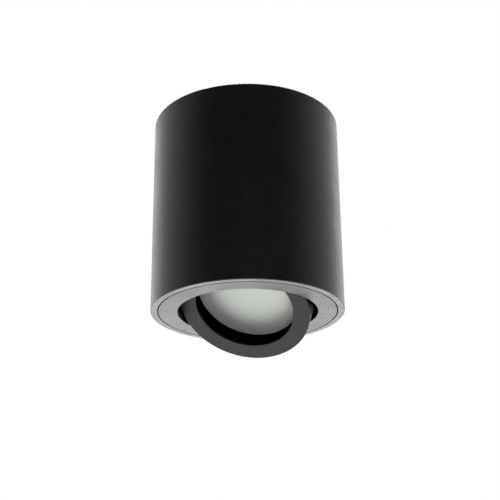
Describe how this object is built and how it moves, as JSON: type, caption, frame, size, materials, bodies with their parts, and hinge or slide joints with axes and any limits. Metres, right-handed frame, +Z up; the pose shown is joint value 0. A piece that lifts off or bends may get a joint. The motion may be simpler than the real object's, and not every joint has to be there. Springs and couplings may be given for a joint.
{
  "type": "surface mounted ceiling spotlight",
  "caption": "Short black cylinder that screws to a ceiling, with a flush trim ring that turns and a lamp ring that tilts out of it.",
  "frame": {"origin": "centre of the flat top face that meets the ceiling", "axes": "+Z up into the ceiling along the cylinder's axis; the tilt axis runs along X, and the lamp is stored tilted so that it shines towards -Y"},
  "size_m": [0.09, 0.09, 0.1116],
  "materials": {
    "housing_coat": "matte black fine-textured powder coat",
    "trim_coat": "matte black fine-textured powder coat",
    "ring_coat": "matte black fine-textured powder coat",
    "grommet_rubber": "soft matte",
    "terminal_moulding": "moulded, slightly translucent",
    "brass": "turned",
    "zinc_steel": "bright zinc plate",
    "tinned_copper": "tin plate",
    "earth_insulation": "green with a yellow stripe",
    "live_insulation": "brown silicone",
    "neutral_insulation": "blue silicone",
    "spring_steel": "rolled stainless",
    "rivet_aluminium": "bright",
    "frosted_lens": "frosted, faintly green",
    "lamp_shell": "silver lacquer",
    "board_white": "solder mask",
    "chip_yellow": "phosphor",
    "lamp_cap": "moulded",
    "nickel_pins": "nickel plate",
    "holder_ceramic": "unglazed ceramic",
    "black_steel": "black oxide",
    "fibre": "pressed fibre"
  },
  "bodies": {
    "housing": {"housing": "housing_coat", "cable_grommet": "grommet_rubber", "terminal_block": "terminal_moulding", "terminal_sleeves": "brass", "terminal_screws": "zinc_steel", "terminal_block_screws": "zinc_steel", "earth_screw": "zinc_steel", "earth_ring_terminal": "tinned_copper", "earth_lead": "earth_insulation", "lead_live": "live_insulation", "lead_neutral": "neutral_insulation"},
    "trim_insert": {"trim_ring": "trim_coat", "clip_springs": "spring_steel", "clip_rivets": "rivet_aluminium"},
    "lamp_head": {"gimbal_ring": "ring_coat", "lamp_clip": "spring_steel", "lamp_lens": "frosted_lens", "lamp_body": "lamp_shell", "led_board": "board_white", "led_chips": "chip_yellow", "lamp_base": "lamp_cap", "lamp_pins": "nickel_pins", "lampholder_body": "holder_ceramic", "lampholder_cover": "holder_ceramic", "lampholder_contacts": "tinned_copper", "lampholder_screws": "zinc_steel", "pivot_screws": "black_steel", "friction_washers": "fibre", "cone_washers": "spring_steel"}
  },
  "joints": [
    {"name": "trim_turn", "type": "hinge", "parent": "housing", "child": "trim_insert", "pos_m": [0, 0, -0.0945], "axis": [0, 0, 1], "range_deg": [-170, 170], "deforming": ["lead_live", "lead_neutral"]},
    {"name": "head_tilt", "type": "hinge", "parent": "trim_insert", "child": "lamp_head", "pos_m": [0, 0, -0.0886], "axis": [1, 0, 0], "range_deg": [0, 66], "deforming": ["lead_live", "lead_neutral"]}
  ]
}
